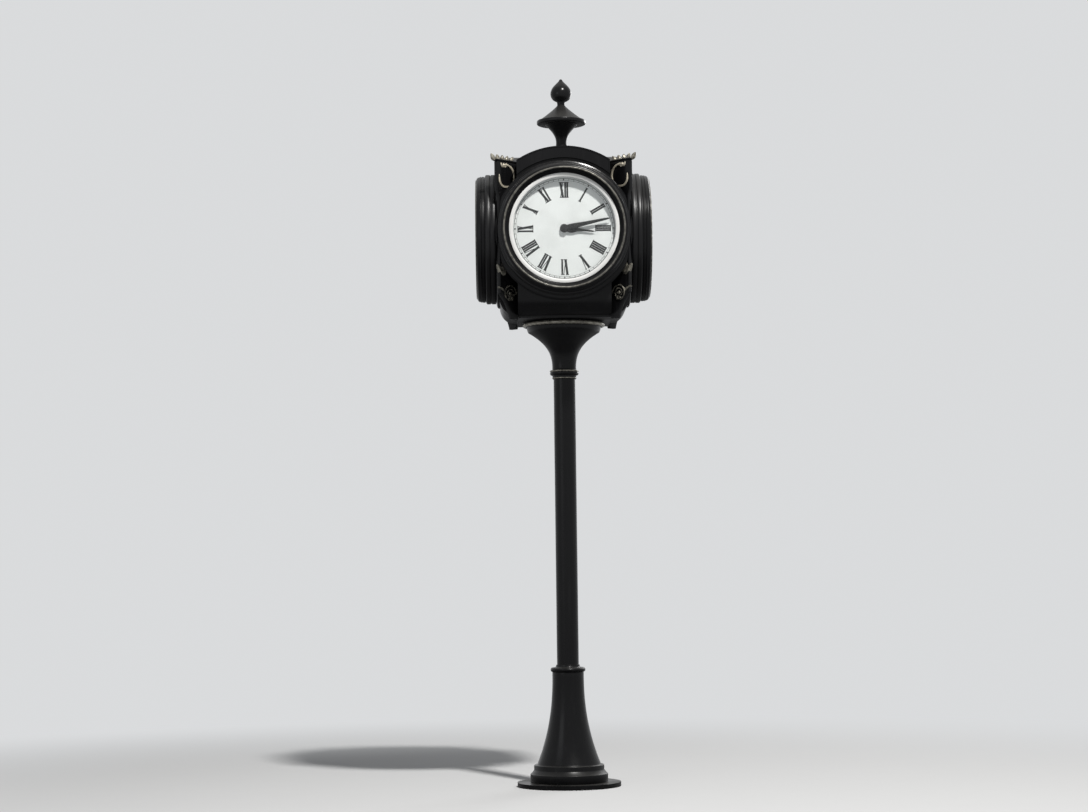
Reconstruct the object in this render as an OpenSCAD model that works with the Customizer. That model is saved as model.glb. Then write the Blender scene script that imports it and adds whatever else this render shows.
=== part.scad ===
// Four-dial street clock: a cross-shaped head with a round dial on each arm, scrolled corner
// consoles, a turned finial, a trumpet capital and a round post on a cast base.
// Millimetres, +Z up, origin on the ground under the post. The front dial faces -Y.

/* [Base] */
// Width of the ground flange outside the circle of bolts
flange_edge = 45; // [30:1:90]
// Thickness of the ground flange
flange_t = 30; // [20:1:45]
// Diameter of the circle of anchor bolt holes
anchor_pcd = 630; // [620:2:640]
// Diameter of an anchor bolt hole
anchor_d = 28; // [20:1:34]
// Number of anchor bolt holes
anchor_count = 4; // [3:1:8]
// Diameter of the foot of the cast pedestal
pedestal_d = 540; // [480:5:560]
// Height of the pedestal above the flange
pedestal_h = 760; // [600:10:1000]
// Wall of the pedestal casting
pedestal_wall = 12; // [8:1:16]
// Height of each of the pedestal's two plinth bands
plinth_h = 60; // [40:2:80]
// How far each band steps in
plinth_step = 26; // [16:1:30]
// How sharply the pedestal flares
pedestal_flare = 2.2; // [1.6:0.1:3]
// Height of the band at the pedestal's top
top_band = 30; // [20:1:50]
// How far the pedestal's neck stands out from the post
neck_out = 34; // [26:1:44]

/* [Post] */
// Outer diameter of the post
post_d = 152; // [130:1:168]
// Wall of the post
post_wall = 8; // [5:1:12]
// Length of post inside the capital
post_socket = 60; // [30:1:90]

/* [Capital] */
// Height of the trumpet capital
capital_h = 336; // [290:2:380]
// Diameter of the capital's flared rim
capital_d = 500; // [450:2:540]
// Height of the flat ring on top of the capital
abacus_h = 74; // [60:1:90]
// How sharply the capital flares
capital_flare = 2.7; // [2:0.1:3.4]
// Height of the ring below the capital
neck_ring_h = 68; // [56:1:90]
// Radius added to the post by the bead of the neck ring
neck_bead = 26; // [18:1:34]

/* [Head] */
// Height of the dial centres above the ground
dial_h = 3830; // [3500:10:4200]
// Width of the four arms of the head
arm_w = 644; // [630:2:656]
// Distance from the post's axis to the front of an arm
wall_reach = 450; // [440:2:460]
// Thickness of the cast walls
wall = 12; // [8:1:15]
// Depth of the walls below the dial centres
wall_drop = 450; // [448:1:470]
// Radius of the rounded bottom of the head
bowl_r = 124; // [110:2:140]
// Thickness of the floor under the head
floor_t = 16; // [10:1:24]
// Radius of the barrel roof
roof_r = 575; // [560:1:590]
// Thickness of the roof
roof_t = 10; // [6:1:14]
// Radius of the ring about each drum
ring_r = 487; // [470:1:500]
// How far that ring stands out from the wall
ring_out = 22; // [12:1:30]
// How far the arched header stands above the roof
header_rise = 10; // [5:1:20]
// How far the header stands out from the wall
header_out = 18; // [14:1:40]
// Height of the header's plate
header_h = 82; // [70:1:86]

/* [Dials] */
// Clear opening of each dial
opening_d = 762; // [730:2:780]
// Width of the bezel ring around the opening
bezel_w = 62.5; // [54:0.5:70]
// Distance from the post's axis to the front of the drums
drum_reach = 545; // [530:1:560]
// Depth of the bezel ring in front of the drum
bezel_depth = 65; // [50:1:80]
// How far the bands stand out from a drum
band_out = 11; // [8:1:14]
// Thickness of the glass
glass_t = 5; // [4:0.5:8]
// Thickness of the dial plate
dial_t = 3; // [2:0.5:5]
// Distance of the dial's face behind the drum's front
dial_back = 15; // [10:1:25]

/* [Hands] */
// Length of a minute hand from its arbor
minute_len = 325; // [280:1:350]
// Length of an hour hand from its arbor
hour_len = 230; // [190:1:260]
// Thickness of a hand
hand_t = 3; // [2:0.5:4]
// Hour shown
show_hour = 3; // [0:1:11]
// Minute shown
show_minute = 13; // [0:1:59]

/* [Consoles] */
// Thickness of a corner console
console_w = 28; // [20:1:40]
// Distance from the post's axis to the outer side of the console's head
head_out = 659; // [650:1:670]
// Width left outside the raised line on that head
head_margin = 14; // [8:1:18]
// Distance from the axis to the middle of the line's round side
head_x = 571; // [564:1:580]
// Height of the middle of that head above the dial centres
head_y = 385; // [378:1:390]
// Radius of the line's round side
head_round = 85; // [78:1:90]
// Thickness of the cap on the head
cap_t = 12; // [8:1:16]
// How far the cap stands out past the head
cap_out = 11; // [6:1:16]
// Distance from the axis to the console's edge beside the drums
console_out = 639; // [636:1:646]
// Height of the leaves above the cap
crest_h = 34; // [24:1:44]
// Height of the tallest leaf beside the drums
leaf_h = 132; // [110:2:150]
// Distance from the axis to the middle of the lower scroll
scroll_x = 541; // [535:1:550]
// Depth of the middle of the lower scroll below the dial centres
scroll_y = 430; // [424:1:436]
// Radius of the lower scroll
scroll_r = 60; // [54:1:62]
// Radius of the hollow sweep down to the foot
sweep_r = 320; // [260:1:420]
// How far the console's foot reaches below the floor
foot_drop = 13; // [8:1:24]
// How far the foot stands clear of the floor's corner
foot_gap = 6.6; // [5:0.2:10]
// Width of the foot
foot_w = 62; // [54:1:70]

/* [Finial] */
// Height of the finial's stem
stem_h = 234; // [220:1:250]
// Radius of the stem at its narrowest
stem_r = 38; // [33:1:43]
// Height of the finial's hat
hat_h = 137; // [126:1:150]
// Diameter of the finial's hat
hat_d = 346; // [320:1:370]
// Height of the hat's upright rim
hat_rim = 29; // [24:1:34]
// Height of the finial's ball with its neck and tip
ball_h = 189; // [175:1:205]
// Diameter of the finial's ball
ball_d = 148; // [136:1:156]

/* [Hidden] */
$fn = 96;
// Space left where curved pieces seat on each other
seat = 0.3;
// Running clearance between a hand and its arbor
run = 0.08;
// Overshoot of cuts
cut = 5;

paint = "#161719";
dial_white = "#f1f1ec";
glass_tint = "#c9d4d8";
hand_black = "#111111";

sides = ["front", "right", "back", "left"];
corners = ["front_right", "back_right", "back_left", "front_left"];

flange_d = anchor_pcd + 2 * flange_edge;
pedestal_r = pedestal_d / 2;
pedestal_top = flange_t + pedestal_h;
post_r = post_d / 2;
neck_r = post_r + neck_out;
neck_wall = 8;

arm_half = arm_w / 2;
// Half the width of the floor between the rounded edges
floor_half = wall_reach - bowl_r;
// Distance from the axis to the inner corners of the cross
corner_rho = arm_half * sqrt(2);
wall_foot = dial_h - wall_drop;
// Depth of the floor's underside below the dial centres
floor_y = wall_drop + bowl_r + floor_t;
floor_z = dial_h - floor_y;
capital_z = floor_z - capital_h;
neck_z = capital_z - neck_ring_h;
roof_in = roof_r - roof_t;
header_r = roof_r + header_rise;
// Height of the eaves above the dial centres
eaves = sqrt(roof_r * roof_r - arm_half * arm_half);

drum_r = opening_d / 2 + bezel_w;
drum_in = drum_r - wall;
ledge_w = 16;
ledge_t = 12;
bezel_front = drum_reach + bezel_depth;
lip_z = drum_reach + 25;
glass_r = opening_d / 2 + 19;
dial_z = drum_reach - dial_back;

// Seats on an arbor, counted out from the dial's face
boss_h = 8;
hour_hub_h = 8;
gap_h = 1.5;
minute_hub_h = 8;
hour_bore = 9;
minute_bore = 6;
hour_z = dial_z + boss_h;
minute_z = hour_z + hour_hub_h + gap_h;

// Relief of the lines and leaves on a console's sides
line_h = 4;
leaf_relief = 7;
head_top = head_y + head_round + head_margin;
// Width of those lines
line_w = 9;
// Distances from the axis to the foot's two sides, and its depth below the dial centres
foot_in = floor_half * sqrt(2) + foot_gap;
foot_out = foot_in + foot_w;
foot_y = floor_y + foot_drop;
console_clear = (console_w / 2 + leaf_relief + seat) * sqrt(2);
// Width of a leaf along its length, as shares
leaf_steps = [[0.1, 0.55], [0.26, 0.9], [0.42, 1], [0.6, 0.84], [0.8, 0.45]];

pad_h = 7;
foot_z = dial_h + roof_r + pad_h;
hat_z = foot_z + stem_h;
ball_z = hat_z + hat_h;
tip_z = ball_z + ball_h;

// Points along an arc about (cx, cy)
function arc(cx, cy, r, from, to, steps) = [
    for (i = [0:steps])
        let (a = from + (to - from) * i / steps)
        [cx + r * cos(a), cy + r * sin(a)]
];

// Points of a flare from (r0, z0) to (r1, z1): slow at first, then quick
function flare(r0, z0, r1, z1, power, steps) = [
    for (i = [0:steps])
        let (t = i / steps)
        [r0 + (r1 - r0) * pow(t, power), z0 + (z1 - z0) * t]
];

// Arc of radius r from p to q, hollow towards the outside
function sweep(p, q, r, steps) =
    let (
        d = q - p,
        off = sqrt(r * r - d * d / 4),
        c = (p + q) / 2 + [-d[1], d[0]] / norm(d) * off,
        from = atan2(p[1] - c[1], p[0] - c[0]),
        to = atan2(q[1] - c[1], q[0] - c[0])
    )
    arc(c[0], c[1], r, from, to, steps);

// Plan of the head's cross, inset by t from its outer faces
function cross_plan(t) =
    let (
        a = arm_half - t,
        r = wall_reach - t
    )
    [
        [a, -r], [a, -a], [r, -a], [r, a], [a, a], [a, r],
        [-a, r], [-a, a], [-r, a], [-r, -a], [-a, -a], [-a, -r]
    ];

// Pointed leaf from a to b, w wide to either side of its middle
function leaf(a, b, w) =
    let (
        d = b - a,
        n = [-d[1], d[0]] / norm(d) * w
    )
    concat(
        [a],
        [for (t = leaf_steps) a + d * t[0] + n * t[1]],
        [b],
        [for (i = [len(leaf_steps) - 1:-1:0]) a + d * leaf_steps[i][0] - n * leaf_steps[i][1]]
    );

// Places a piece made on the front wall on wall k, counted round from the front through the right
module on_wall(k) {
    rotate([0, 0, 90 * k]) children();
}

// Dial frame of wall k: x to the right, y up and z out of the dial, from the dial's centre
module on_dial(k) {
    on_wall(k)
        translate([0, 0, dial_h])
            rotate([90, 0, 0])
                children();
}

// Console frame of corner k: x away from the post and y up, from the level of the dial centres
module on_corner(k) {
    rotate([0, 0, 90 * k - 45])
        translate([0, 0, dial_h])
            rotate([90, 0, 0])
                children();
}

// Both pairs of drums as one cross, r in radius and reaching out to d
module crossed_barrels(r, d) {
    for (k = [0, 1])
        on_wall(k)
            translate([0, d, dial_h])
                rotate([90, 0, 0])
                    cylinder(r = r, h = 2 * d);
}

// Everything in front of the mitres between one wall and its neighbours, kept m from them
module front_quarter(m) {
    linear_extrude(height = 2 * dial_h)
        polygon([[0, -m], [-dial_h, -dial_h - m], [dial_h, -dial_h - m]]);
}

module base_flange() {
    color(paint)
        difference() {
            cylinder(d = flange_d, h = flange_t);
            for (i = [0:anchor_count - 1])
                rotate([0, 0, 45 + 360 * i / anchor_count])
                    translate([anchor_pcd / 2, 0, -cut])
                        cylinder(d = anchor_d, h = flange_t + 2 * cut);
        }
}

// Outline of the pedestal up to its top band, drawn at a distance t inside its outer face
function pedestal_line(t) = concat(
    [[pedestal_r - t, flange_t], [pedestal_r - t, flange_t + plinth_h]],
    [[pedestal_r - t - plinth_step, flange_t + plinth_h + plinth_step]],
    [[pedestal_r - t - plinth_step, flange_t + 2 * plinth_h]],
    [for (i = [0:12])
        let (
            u = i / 12,
            wide = pedestal_r - 2 * plinth_step,
            low = flange_t + 2 * plinth_h + 12
        )
        [
            neck_r - t + (wide - neck_r) * pow(1 - u, pedestal_flare),
            low + (pedestal_top - top_band - low) * u
        ]
    ]
);

module pedestal() {
    bore = post_r + seat;
    color(paint)
        rotate_extrude()
            difference() {
                polygon(concat(
                    [[bore, flange_t]],
                    pedestal_line(0),
                    [[neck_r, pedestal_top], [bore, pedestal_top]]
                ));
                polygon(concat(
                    [[0, flange_t - cut], [pedestal_r - pedestal_wall, flange_t - cut]],
                    pedestal_line(pedestal_wall),
                    [[0, pedestal_top - top_band]]
                ));
            }
}

module pedestal_collar() {
    bead_r = 16;
    color(paint)
        rotate_extrude()
            polygon(concat(
                [[post_r + seat, pedestal_top]],
                arc(post_r + 30, pedestal_top + bead_r, bead_r, -90, 90, 10),
                [[post_r + 14, pedestal_top + 2 * bead_r]],
                [[post_r + 6, pedestal_top + 2 * bead_r + 18]],
                [[post_r + seat, pedestal_top + 2 * bead_r + 18]]
            ));
}

module post() {
    color(paint)
        difference() {
            translate([0, 0, flange_t])
                cylinder(r = post_r, h = capital_z + post_socket - flange_t);
            translate([0, 0, flange_t - cut])
                cylinder(r = post_r - post_wall, h = capital_z + post_socket - flange_t + 2 * cut);
        }
}

module neck_ring() {
    bead_r = 18;
    color(paint)
        rotate_extrude()
            polygon(concat(
                [[post_r + seat, neck_z], [post_r + 3, neck_z], [post_r + neck_wall - 1, neck_z + 6]],
                [[post_r + neck_wall, capital_z - 2 * bead_r - 6]],
                arc(post_r + neck_bead - bead_r, capital_z - bead_r - 4, bead_r, -90, 90, 12),
                [[post_r + neck_wall, capital_z - 2]],
                [[post_r + neck_wall, capital_z], [post_r + seat, capital_z]]
            ));
}

module capital() {
    rim_z = floor_z - abacus_h;
    rim_r = capital_d / 2;
    bead_r = 13;
    color(paint)
        difference() {
            rotate_extrude()
                polygon(concat(
                    [[0, capital_z]],
                    flare(post_r + neck_wall, capital_z, rim_r, rim_z, capital_flare, 16),
                    [[rim_r + 6, rim_z + 12], [rim_r + 10, rim_z + 28], [rim_r + 12, floor_z - 3 * bead_r + 1]],
                    arc(rim_r + 2 * bead_r, floor_z - 2 * bead_r + 2, bead_r, -90, 90, 10),
                    [[rim_r + 20, floor_z - bead_r + 3], [rim_r + 20, floor_z], [0, floor_z]]
                ));
            translate([0, 0, capital_z - cut])
                cylinder(r = post_r + seat, h = post_socket + cut + seat);
        }
}

// Side view of the rounded bottom of the head, inset by t
module bowl_side(t) {
    r = bowl_r - t;
    intersection() {
        union() {
            translate([-floor_half, -r])
                square([2 * floor_half, r]);
            for (s = [-1, 1])
                translate([s * floor_half, 0])
                    circle(r = r);
        }
        translate([-wall_reach - cut, -bowl_r - cut])
            square([2 * (wall_reach + cut), bowl_r + cut]);
    }
}

// Rounded bottom under both pairs of arms, inset by t
module bowl_form(t) {
    half = arm_half - t;
    for (k = [0, 1])
        on_wall(k)
            translate([-half, 0, wall_foot])
                rotate([90, 0, 90])
                    linear_extrude(height = 2 * half)
                        bowl_side(t);
}

module head_base() {
    color(paint) {
        difference() {
            bowl_form(0);
            bowl_form(wall);
        }
        translate([-floor_half, -floor_half, floor_z])
            cube([2 * floor_half, 2 * floor_half, floor_t]);
    }
}

module roof() {
    pad_r = 85;
    low = dial_h + eaves - 60;
    color(paint)
        difference() {
            union() {
                intersection() {
                    crossed_barrels(roof_r, wall_reach);
                    translate([0, 0, low])
                        linear_extrude(height = roof_r)
                            polygon(cross_plan(0));
                }
                translate([0, 0, dial_h + roof_in])
                    cylinder(r = pad_r, h = roof_t + pad_h);
            }
            crossed_barrels(roof_in, wall_reach + cut);
        }
}

// One arm of the head: the wall with its returns, the drum, the ring about it and the header
module case(k) {
    color(paint)
        on_wall(k) {
            case_wall();
            intersection() {
                front_quarter(0);
                case_drum();
            }
            drum_bands();
            intersection() {
                front_quarter(console_clear);
                case_ring();
            }
            case_header();
        }
}

// Front wall and its two returns, mitred to the neighbours
module case_wall() {
    in_half = arm_half - wall;
    in_reach = wall_reach - wall;
    difference() {
        intersection() {
            translate([0, 0, wall_foot])
                linear_extrude(height = wall_drop + roof_in)
                    polygon([
                        [-arm_half, -arm_half], [-arm_half, -wall_reach],
                        [arm_half, -wall_reach], [arm_half, -arm_half],
                        [in_half, -in_half], [in_half, -in_reach],
                        [-in_half, -in_reach], [-in_half, -in_half]
                    ]);
            union() {
                on_dial(0)
                    cylinder(r = roof_in - seat, h = wall_reach + cut);
                translate([-arm_half - cut, -wall_reach - cut, wall_foot - cut])
                    cube([arm_w + 2 * cut, wall_reach, wall_drop + cut]);
            }
        }
        on_dial(0)
            cylinder(r = drum_in, h = wall_reach + cut);
    }
}

// The drum, with a ledge inside that the dial rests on
module case_drum() {
    difference() {
        on_dial(0)
            difference() {
                cylinder(r = drum_r, h = drum_reach);
                translate([0, 0, -cut])
                    cylinder(r = drum_in, h = drum_reach + 2 * cut);
            }
        translate([0, 0, dial_h - drum_r - cut])
            linear_extrude(height = 2 * (drum_r + cut))
                polygon(cross_plan(wall));
    }
    on_dial(0)
        translate([0, 0, dial_z - dial_t - ledge_t])
            difference() {
                cylinder(r = drum_in + wall / 2, h = ledge_t);
                translate([0, 0, -cut])
                    cylinder(r = drum_in - ledge_w, h = ledge_t + 2 * cut);
            }
}

// Two flat bands round the drum in front of the consoles, with a groove between them
module drum_bands() {
    r = drum_r + band_out;
    low = wall_reach + ring_out + 3;
    high = drum_reach - 5;
    groove = low + (high - low) * 0.48;
    on_dial(0)
        rotate_extrude()
            polygon([
                [drum_r - wall / 2, low], [r - 4, low], [r, low + 4],
                [r, groove - 5], [r - 6, groove - 2], [r - 6, groove + 2], [r, groove + 5],
                [r, high - 6], [r - 6, high], [drum_r - wall / 2, high]
            ]);
}

// Rounded ring where the drum leaves the wall
module case_ring() {
    r = ring_r - drum_r;
    on_dial(0)
        translate([0, 0, wall_reach])
            rotate_extrude()
                polygon(concat(
                    [[drum_r - wall / 2, 0], [ring_r, 0], [ring_r, ring_out / 3]],
                    [for (i = [0:6])
                        let (a = 15 * i)
                        [drum_r + r * cos(a) - 3, ring_out / 3 + ring_out * 2 / 3 * sin(a)]
                    ],
                    [[drum_r - wall / 2, ring_out]]
                ));
}

// Arched header with a sunk field; its ends stand over the arm's sides
module case_header() {
    rim = 9;
    sunk = 4;
    on_dial(0)
        translate([0, 0, wall_reach])
            difference() {
                header_arch(header_r - header_h, header_r, arm_half, header_out);
                translate([0, 0, header_out - sunk])
                    header_arch(header_r - header_h + rim, header_r - rim, arm_half - rim, header_out);
            }
}

// Part of a ring between two radii, within half a width of the middle
module header_arch(r_low, r_high, half, h) {
    intersection() {
        difference() {
            cylinder(r = r_high, h = h);
            translate([0, 0, -cut])
                cylinder(r = r_low, h = h + 2 * cut);
        }
        translate([-half, 0, 0])
            cube([2 * half, r_high + cut, h]);
    }
}

module bezel(k) {
    inner = opening_d / 2;
    groove = 6;
    round_r = 24;
    bead = 8;
    face = bezel_front - 4;
    color(paint)
        on_dial(k)
            rotate_extrude()
                polygon(concat(
                    [[glass_r + seat, drum_reach], [drum_r - groove, drum_reach]],
                    [[drum_r - groove, drum_reach + groove], [drum_r, drum_reach + groove + 2]],
                    arc(drum_r - round_r, face - round_r, round_r, 0, 90, 10),
                    arc(inner + 26, face, bead, 0, 180, 10),
                    [[inner + 12, face]],
                    arc(inner + 12, face - 12, 12, 180, 180, 1),
                    [[inner, lip_z]],
                    [[glass_r + seat, lip_z]]
                ));
}

module glass(k) {
    color(glass_tint, 0.3)
        on_dial(k)
            translate([0, 0, lip_z - seat - glass_t])
                cylinder(r = glass_r, h = glass_t);
}

module dial(k) {
    color(dial_white)
        on_dial(k)
            translate([0, 0, dial_z - dial_t])
                difference() {
                    cylinder(r = drum_in - seat, h = dial_t);
                    translate([0, 0, -cut])
                        cylinder(r = 8, h = dial_t + 2 * cut);
                }
}

module arbor(k) {
    color(hand_black)
        on_dial(k) {
            translate([0, 0, dial_z])
                cylinder(r = 15, h = boss_h - 0.5);
            translate([0, 0, dial_z])
                cylinder(r = hour_bore, h = boss_h + hour_hub_h + 0.8);
            translate([0, 0, dial_z])
                cylinder(r = minute_bore, h = boss_h + hour_hub_h + gap_h + minute_hub_h + 1);
            translate([0, 0, minute_z + minute_hub_h + 0.5])
                cylinder(r = 10, h = 3.5);
        }
}

module hour_hand(k) {
    turn = -30 * (show_hour + show_minute / 60);
    color(hand_black)
        on_dial(k)
            translate([0, 0, hour_z])
                rotate([0, 0, turn])
                    difference() {
                        union() {
                            cylinder(r = 28, h = hour_hub_h - 1);
                            translate([0, 0, 2])
                                linear_extrude(height = hand_t)
                                    hour_outline();
                        }
                        translate([0, 0, -cut])
                            cylinder(r = hour_bore + run, h = 4 * cut);
                    }
}

module hour_outline() {
    spade = hour_len - 74;
    polygon([
        [-12, -62], [12, -62], [15, 0], [11, spade - 30], [25, spade],
        [14, spade + 30], [0, hour_len],
        [-14, spade + 30], [-25, spade], [-11, spade - 30], [-15, 0]
    ]);
}

module minute_hand(k) {
    turn = -6 * show_minute;
    color(hand_black)
        on_dial(k)
            translate([0, 0, minute_z])
                rotate([0, 0, turn])
                    difference() {
                        union() {
                            cylinder(r = 25, h = minute_hub_h);
                            translate([0, 0, 4])
                                linear_extrude(height = hand_t)
                                    minute_outline();
                        }
                        translate([0, 0, -cut])
                            cylinder(r = minute_bore + run, h = 4 * cut);
                    }
}

module minute_outline() {
    taper = minute_len * 0.55;
    polygon([
        [-14, -90], [14, -90], [10, -20], [14, 0], [13, taper],
        [8, minute_len - 16], [0, minute_len], [-8, minute_len - 16],
        [-13, taper], [-14, 0], [-10, -20]
    ]);
}

// Side view of a console, from its head down to its foot and back up inside the head
function console_outline() =
    let (
        head_low = head_y - head_round,
        ease = 70
    )
    concat(
        [[corner_rho - 12, head_top], [head_out, head_top], [head_out, head_low]],
        [for (i = [1:8])
            [
                head_out - (head_out - console_out) * (1 - cos(180 * i / 8)) / 2,
                head_low - ease * i / 8
            ]
        ],
        sweep([console_out, -scroll_y], [foot_out, -foot_y], sweep_r, 10),
        [[foot_in, -foot_y], [foot_in, -floor_y], [foot_in - 12, -floor_y]],
        [[foot_in - 12, -floor_y + floor_t + 2], [corner_rho - 12, -floor_y + floor_t + 20]]
    );

// Raised line on the head: straight outside and round inside, drawn t inside
module head_shape(t) {
    translate([head_x, head_y]) {
        circle(r = head_round - t);
        translate([0, t - head_round])
            square([head_out - head_margin - head_x - t, 2 * (head_round - t)]);
    }
}

// Flat cap over the head
module head_cap() {
    translate([corner_rho, head_top])
        square([head_out + cap_out - corner_rho, cap_t]);
}

// Leaves that stand on the cap, spread out from its middle
module crest() {
    x = head_out - 64;
    y = head_top + cap_t;
    for (tip = [-105, -51, 0, 51, 106])
        polygon(leaf([x + tip * 0.72, y - cap_t], [x + tip, y + crest_h], 17));
}

// Leaf on the outer edge beside the drums, and a small one above the lower scroll
module edge_leaves() {
    x = console_out - 42;
    y = -scroll_y + 104;
    polygon(leaf([x, y], [x + 62, y + leaf_h * 0.65], 20));
    polygon(leaf([x - 4, y], [x + 30, y + leaf_h], 19));
    polygon(leaf([x - 8, y], [x - 10, y + leaf_h * 0.85], 17));
    polygon(leaf([console_out - 52, -scroll_y + 8], [console_out + 10, -scroll_y + 44], 13));
}

// Leaf that lies between the head's line and its cap
module head_leaf() {
    x = head_x + 22;
    y = head_y + head_round - 30;
    for (tip = [-32, 0, 32])
        polygon(leaf([x + tip * 0.3, y], [x + tip, head_top - 2], 13));
}

// One half turn after another, each smaller than the last, ending at an eye
module scroll_line(r, step, halves, w) {
    for (i = [0:halves - 1]) {
        upper = i % 2 == 0;
        translate([upper ? 0 : step, 0])
            intersection() {
                difference() {
                    circle(r = r - i * step);
                    circle(r = r - i * step - w);
                }
                translate([-r, upper ? 0 : -r])
                    square([2 * r, r]);
            }
    }
    translate([step / 2, 0])
        circle(r = w * 1.4);
}

// Everything the head fills where the consoles meet it, with the seat's clearance
module head_form() {
    reach = floor_half + seat;
    translate([0, 0, wall_foot])
        linear_extrude(height = wall_drop + roof_r)
            polygon(cross_plan(-seat));
    bowl_form(-seat);
    translate([-reach, -reach, floor_z - seat])
        cube([2 * reach, 2 * reach, floor_t + 2 * seat]);
    crossed_barrels(drum_r + seat, drum_reach);
}

module console(k) {
    color(paint)
        difference() {
            on_corner(k) {
                linear_extrude(height = console_w, center = true) {
                    polygon(console_outline());
                    crest();
                }
                linear_extrude(height = console_w + cap_out, center = true)
                    head_cap();
                linear_extrude(height = console_w + 2 * line_h, center = true) {
                    difference() {
                        head_shape(0);
                        head_shape(line_w);
                    }
                    translate([scroll_x, -scroll_y])
                        scroll_line(scroll_r, 13, 4, line_w);
                }
                linear_extrude(height = console_w + 2 * leaf_relief, center = true) {
                    edge_leaves();
                    head_leaf();
                }
            }
            head_form();
        }
}

module finial_stem() {
    foot_r = 75;
    top_r = 112;
    bead = 12;
    flare_h = 124;
    color(paint)
        rotate_extrude()
            polygon(concat(
                [[0, foot_z], [foot_r, foot_z], [foot_r, foot_z + bead]],
                [for (i = [0:8])
                    let (u = i / 8)
                    [stem_r + (foot_r - 12 - stem_r) * pow(1 - u, 2), foot_z + bead + 4 + 90 * u]
                ],
                flare(stem_r, hat_z - 4 - flare_h, top_r, hat_z - 4, 1.9, 12),
                [[top_r, hat_z], [0, hat_z]]
            ));
}

module finial_hat() {
    r = hat_d / 2;
    soft = 9;
    waist_r = 27;
    slope = hat_z + hat_rim + 3;
    color(paint)
        rotate_extrude()
            polygon(concat(
                [[0, hat_z], [r - soft, hat_z]],
                arc(r - soft, hat_z + soft, soft, -90, 0, 4),
                arc(r - soft, hat_z + hat_rim - soft, soft, 0, 90, 4),
                [for (i = [0:12])
                    let (u = i / 12)
                    [waist_r + (r - 22 - waist_r) * pow(1 - u, 1.15), slope + (ball_z - slope) * u]
                ],
                [[0, ball_z]]
            ));
}

module finial_ball() {
    ball_r = ball_d / 2;
    mid = ball_z + 85;
    waist_r = 27;
    color(paint)
        rotate_extrude()
            polygon(concat(
                [[0, ball_z], [waist_r, ball_z], [waist_r, ball_z + 14], [waist_r + 3, ball_z + 26]],
                [[waist_r + 12, mid - ball_r * sin(52)]],
                arc(0, mid, ball_r, -42, 34, 12),
                [[ball_r * cos(52), mid + ball_r * sin(57)], [28, tip_z - 26], [18, tip_z - 16]],
                arc(0, tip_z - 12, 12, 0, 90, 5)
            ));
}

base_flange();
pedestal();
pedestal_collar();
post();
neck_ring();
capital();
head_base();
roof();
finial_stem();
finial_hat();
finial_ball();
for (k = [0:3]) {
    case(k);
    console(k);
    bezel(k);
    glass(k);
    dial(k);
    arbor(k);
    hour_hand(k);
    minute_hand(k);
}
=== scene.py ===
"""Looks of a four-dial street clock: castings, consoles, dials with Roman hours, paint and light."""
import logging
import math
from dataclasses import dataclass, field
from enum import Enum
from typing import Any

import bpy
from mathutils import Matrix, Vector


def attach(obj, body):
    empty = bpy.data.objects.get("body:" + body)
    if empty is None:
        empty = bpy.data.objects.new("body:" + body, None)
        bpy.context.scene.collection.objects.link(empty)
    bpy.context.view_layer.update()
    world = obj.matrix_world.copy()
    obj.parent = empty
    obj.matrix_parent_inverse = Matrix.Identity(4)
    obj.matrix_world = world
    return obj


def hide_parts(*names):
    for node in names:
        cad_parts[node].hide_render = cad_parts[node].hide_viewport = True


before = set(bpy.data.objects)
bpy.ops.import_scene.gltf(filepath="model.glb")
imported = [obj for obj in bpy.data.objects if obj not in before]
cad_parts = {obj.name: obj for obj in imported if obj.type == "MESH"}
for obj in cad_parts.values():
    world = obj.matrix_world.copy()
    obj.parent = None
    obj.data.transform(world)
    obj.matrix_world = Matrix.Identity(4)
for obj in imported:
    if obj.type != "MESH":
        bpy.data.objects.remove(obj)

log = logging.getLogger("street_clock")

Material = bpy.types.Material
Piece = bpy.types.Object
Point = tuple[float, float]
Triple = tuple[float, float, float]
Colour = tuple[float, float, float, float]

CLOCK = "clock"  # body of everything but the hands
MM = 0.001
LEVEL = 3.83  # height of the dials' centres, in metres
DIAL_CENTRE = Vector((0, 0, LEVEL))
DIAL_AXIS = Vector((0, -1, 0))
POST_AXIS = Vector((0, 0, 1))
MERGE = 0.00001  # corners closer than this become one, in metres
CREASE = 35  # edges bent more than this stay sharp, in degrees
BACKDROP: Colour = (0.7, 0.71, 0.72, 1)


class Wall(Enum):
    """Side of the head that a dial faces, with its turn about the post in degrees."""

    FRONT = 0
    RIGHT = 90
    BACK = 180
    LEFT = 270


class Corner(Enum):
    """Corner of the head that a console stands in, with its turn from the right side in degrees."""

    FRONT_RIGHT = -45
    BACK_RIGHT = 45
    BACK_LEFT = 135
    FRONT_LEFT = 225


class Slot(Enum):
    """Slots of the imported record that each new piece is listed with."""

    IRON = "iron"
    BEZEL = "bezel"
    HANDS = "hands"


# Shader graphs


class Value:
    """Output of a shader node. Arithmetic on it adds Math nodes."""

    def __init__(self, graph: "Graph", socket: bpy.types.NodeSocket | None) -> None:
        """Wraps a socket of a graph."""
        self.graph = graph
        self.socket = socket

    def _math(self, operation: str, left: Any, right: Any) -> "Value":
        """Adds a Math node that joins two values."""
        return self.graph.add("ShaderNodeMath", {"operation": operation}, {0: left, 1: right})

    def __add__(self, other: Any) -> "Value":
        """Sum."""
        return self._math("ADD", self, other)

    __radd__ = __add__

    def __mul__(self, other: Any) -> "Value":
        """Product."""
        return self._math("MULTIPLY", self, other)

    __rmul__ = __mul__

    def __or__(self, other: Any) -> "Value":
        """Either of two masks."""
        return self._math("MAXIMUM", self, other)

    __ror__ = __or__


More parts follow.
